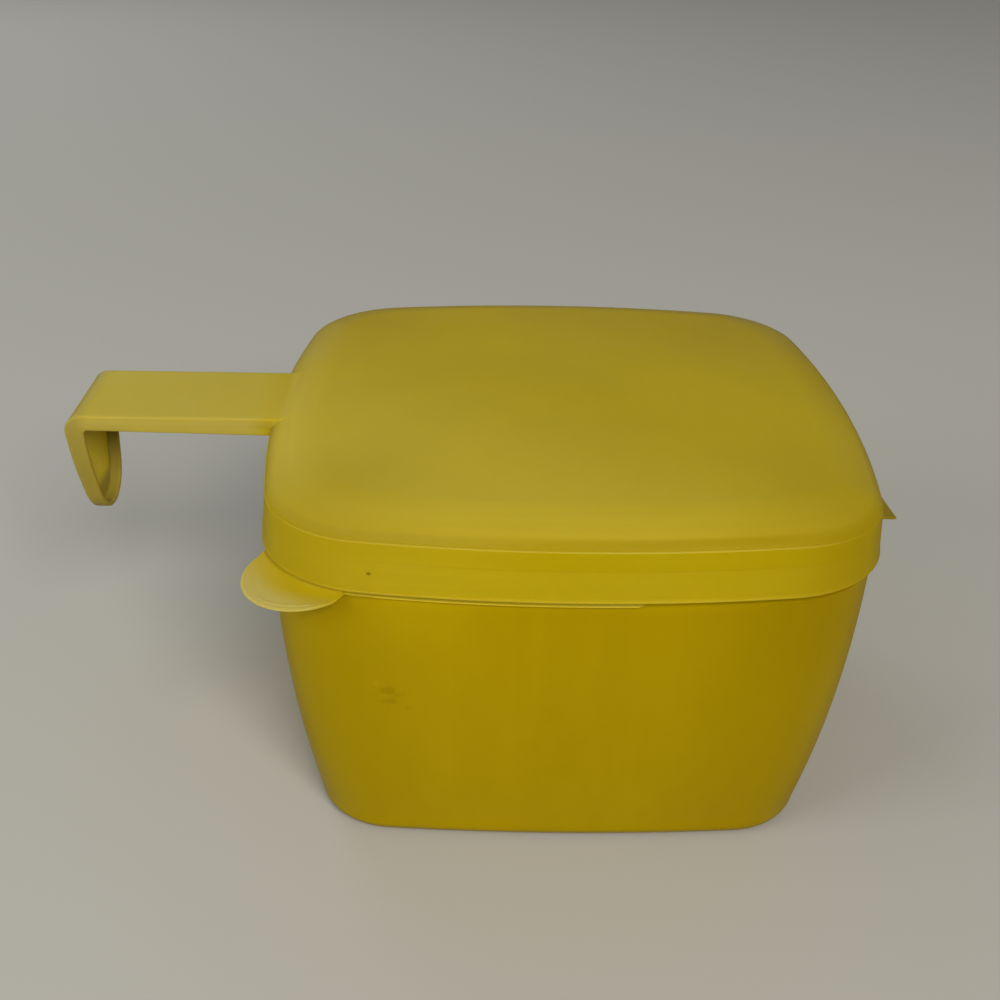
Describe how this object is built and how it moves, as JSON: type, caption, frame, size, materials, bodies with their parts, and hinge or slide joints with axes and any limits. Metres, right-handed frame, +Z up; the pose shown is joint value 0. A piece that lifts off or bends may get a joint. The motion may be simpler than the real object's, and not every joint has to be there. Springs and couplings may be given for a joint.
{
  "type": "covered bowl",
  "caption": "Deep square translucent bowl with a flexible inner seal and a domed cover that carries a long hooked handle.",
  "frame": {"origin": "centre of the bowl's underside, on the plane that it stands on", "axes": "+Z up through the cover, -X along the handle, +Y away from the side that faces the viewer, with the thumb tab at the -X -Y corner"},
  "size_m": [0.2173, 0.16, 0.1008],
  "materials": {
    "bowl_plastic": "translucent yellow polyethylene, satin",
    "seal_plastic": "paler translucent yellow polyethylene, satin, flexible",
    "cover_plastic": "translucent yellow polyethylene, matt to satin"
  },
  "bodies": {
    "bowl_body": {"bowl": "bowl_plastic"},
    "seal_body": {"inner_seal": "seal_plastic"},
    "cover_body": {"handled_cover": "cover_plastic"}
  },
  "joints": [
    {"name": "seal_lift", "type": "slide", "parent": "bowl_body", "child": "seal_body", "axis": [0, 0, 1], "range_m": [0, 0.06]},
    {"name": "cover_lift", "type": "slide", "parent": "seal_body", "child": "cover_body", "axis": [0, 0, 1], "range_m": [0, 0.08]}
  ]
}
